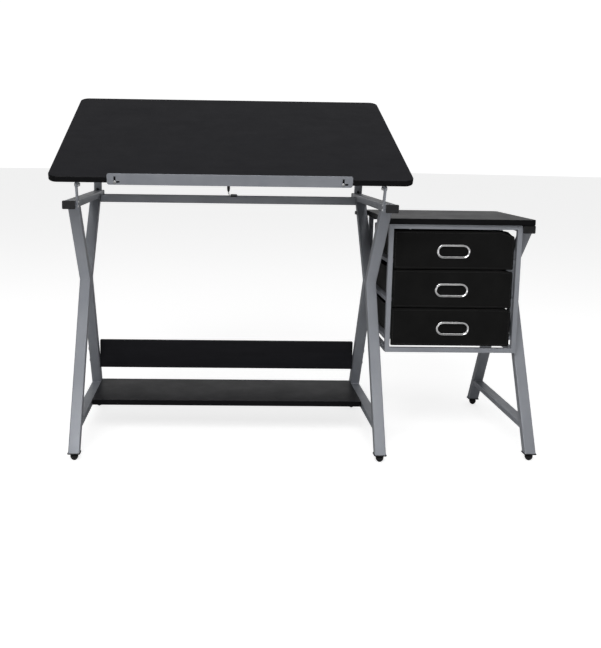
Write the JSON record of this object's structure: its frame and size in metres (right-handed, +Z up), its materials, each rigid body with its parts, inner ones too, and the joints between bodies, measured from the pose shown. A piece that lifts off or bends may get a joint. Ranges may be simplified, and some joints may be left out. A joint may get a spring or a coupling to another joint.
{
  "type": "drafting table",
  "caption": "Drafting table: tilting main top with a raised front ledge on crossed steel legs, a lower shelf, and a side table with fabric drawers.",
  "frame": {"origin": "on the floor, under the middle of the whole table", "axes": "+X to the right of a person sitting at it, towards the side table; -Y towards that person; +Z up"},
  "size_m": [1.27, 0.5874, 0.9579],
  "materials": {
    "silver_paint": "satin silver-grey powder coat",
    "charcoal_board": "charcoal black laminated board with a fine matte grain",
    "black_plastic": "moulded matte black",
    "black_fabric": "black woven fabric over stiff board",
    "chrome": "polished",
    "zinc_steel": "bright zinc plate"
  },
  "bodies": {
    "base": {"back_panel": "charcoal_board", "cabinet_front_frame": "silver_paint", "cabinet_left_runners": "silver_paint", "cabinet_rear_frame": "silver_paint", "cabinet_right_runners": "silver_paint", "left_foot_rail": "silver_paint", "left_front_cap": "black_plastic", "left_front_leg": "silver_paint", "left_front_plug": "black_plastic", "left_pivot_post": "silver_paint", "left_rear_cap": "black_plastic", "left_rear_leg": "silver_paint", "left_rear_plug": "black_plastic", "left_side_tube": "silver_paint", "lower_shelf": "charcoal_board", "middle_foot_rail": "silver_paint", "middle_front_cap": "black_plastic", "middle_front_leg": "silver_paint", "middle_front_plug": "black_plastic", "middle_rear_cap": "black_plastic", "middle_rear_leg": "silver_paint", "middle_rear_plug": "black_plastic", "middle_side_tube": "silver_paint", "rear_rail": "silver_paint", "right_foot_rail": "silver_paint", "right_front_cap": "black_plastic", "right_front_leg": "silver_paint", "right_front_plug": "black_plastic", "right_pivot_post": "silver_paint", "right_rear_cap": "black_plastic", "right_rear_leg": "silver_paint", "right_rear_plug": "black_plastic", "right_side_tube": "silver_paint", "side_top": "charcoal_board"},
    "tilting_top": {"main_top": "charcoal_board", "left_top_angle": "silver_paint", "right_top_angle": "silver_paint", "left_ledge_screw": "zinc_steel", "right_ledge_screw": "zinc_steel"},
    "ledge": {"pencil_ledge": "silver_paint"},
    "lever": {"release_lever": "zinc_steel", "release_sleeve": "black_plastic", "release_grip": "black_plastic"},
    "left_guide": {"left_stay_guide": "silver_paint"},
    "right_guide": {"right_stay_guide": "silver_paint"},
    "left_stay": {"left_stay_bar": "silver_paint"},
    "right_stay": {"right_stay_bar": "silver_paint"},
    "upper_drawer_unit": {"upper_drawer": "black_fabric", "upper_handle": "chrome"},
    "middle_drawer_unit": {"middle_drawer": "black_fabric", "middle_handle": "chrome"},
    "lower_drawer_unit": {"lower_drawer": "black_fabric", "lower_handle": "chrome"},
    "left_front_foot": {"left_front_leveller": "black_plastic"},
    "left_rear_foot": {"left_rear_leveller": "black_plastic"},
    "middle_front_foot": {"middle_front_leveller": "black_plastic"},
    "middle_rear_foot": {"middle_rear_leveller": "black_plastic"},
    "right_front_foot": {"right_front_leveller": "black_plastic"},
    "right_rear_foot": {"right_rear_leveller": "black_plastic"}
  },
  "joints": [
    {"name": "tilt", "type": "hinge", "parent": "base", "child": "tilting_top", "pos_m": [-0.184, -0.26365, 0.71836], "axis": [1, 0, 0], "range_deg": [-21.3, 5.7]},
    {"name": "left_guide_swivel", "type": "hinge", "parent": "base", "child": "left_guide", "pos_m": [-0.584, 0.24635, 0.66875], "axis": [1, 0, 0], "range_deg": [-8.54, 2.36]},
    {"name": "left_stay_slide", "type": "slide", "parent": "left_guide", "child": "left_stay", "axis": [0, -0.1467, 0.9892], "range_m": [-0.1888, 0.0513]},
    {"name": "right_guide_swivel", "type": "hinge", "parent": "base", "child": "right_guide", "pos_m": [0.216, 0.24635, 0.66875], "axis": [1, 0, 0], "range_deg": [-8.54, 2.36]},
    {"name": "right_stay_slide", "type": "slide", "parent": "right_guide", "child": "right_stay", "axis": [0, -0.1467, 0.9892], "range_m": [-0.1888, 0.0513]},
    {"name": "ledge_drop", "type": "slide", "parent": "tilting_top", "child": "ledge", "axis": [0, -0.3633, 0.9317], "range_m": [-0.0102, 0]},
    {"name": "lever_pull", "type": "hinge", "parent": "tilting_top", "child": "lever", "pos_m": [-0.191, -0.26474, 0.72116], "axis": [1, 0, 0], "range_deg": [-20, 0], "stiffness_Nm_per_rad": 0.1, "springref_deg": 2.86},
    {"name": "upper_drawer_slide", "type": "slide", "parent": "base", "child": "upper_drawer_unit", "axis": [0, -1, 0], "range_m": [0, 0.25]},
    {"name": "middle_drawer_slide", "type": "slide", "parent": "base", "child": "middle_drawer_unit", "axis": [0, -1, 0], "range_m": [0, 0.25]},
    {"name": "lower_drawer_slide", "type": "slide", "parent": "base", "child": "lower_drawer_unit", "axis": [0, -1, 0], "range_m": [0, 0.25]},
    {"name": "left_front_foot_turn", "type": "hinge", "parent": "base", "child": "left_front_foot", "pos_m": [-0.584, -0.2368, 0.01], "axis": [0, 0, 1], "continuous": true},
    {"name": "left_rear_foot_turn", "type": "hinge", "parent": "base", "child": "left_rear_foot", "pos_m": [-0.584, 0.2352, 0.01], "axis": [0, 0, 1], "continuous": true},
    {"name": "middle_front_foot_turn", "type": "hinge", "parent": "base", "child": "middle_front_foot", "pos_m": [0.216, -0.2368, 0.01], "axis": [0, 0, 1], "continuous": true},
    {"name": "middle_rear_foot_turn", "type": "hinge", "parent": "base", "child": "middle_rear_foot", "pos_m": [0.216, 0.2352, 0.01], "axis": [0, 0, 1], "continuous": true},
    {"name": "right_front_foot_turn", "type": "hinge", "parent": "base", "child": "right_front_foot", "pos_m": [0.618, -0.2188, 0.01], "axis": [0, 0, 1], "continuous": true},
    {"name": "right_rear_foot_turn", "type": "hinge", "parent": "base", "child": "right_rear_foot", "pos_m": [0.618, 0.2792, 0.01], "axis": [0, 0, 1], "continuous": true}
  ],
  "couplings": [
    {"joint": "left_guide_swivel", "follows": "tilt", "ratio": 0.3961},
    {"joint": "left_stay_slide", "follows": "tilt", "m_per_rad": 0.50525},
    {"joint": "right_guide_swivel", "follows": "tilt", "ratio": 0.3961},
    {"joint": "right_stay_slide", "follows": "tilt", "m_per_rad": 0.50525}
  ]
}
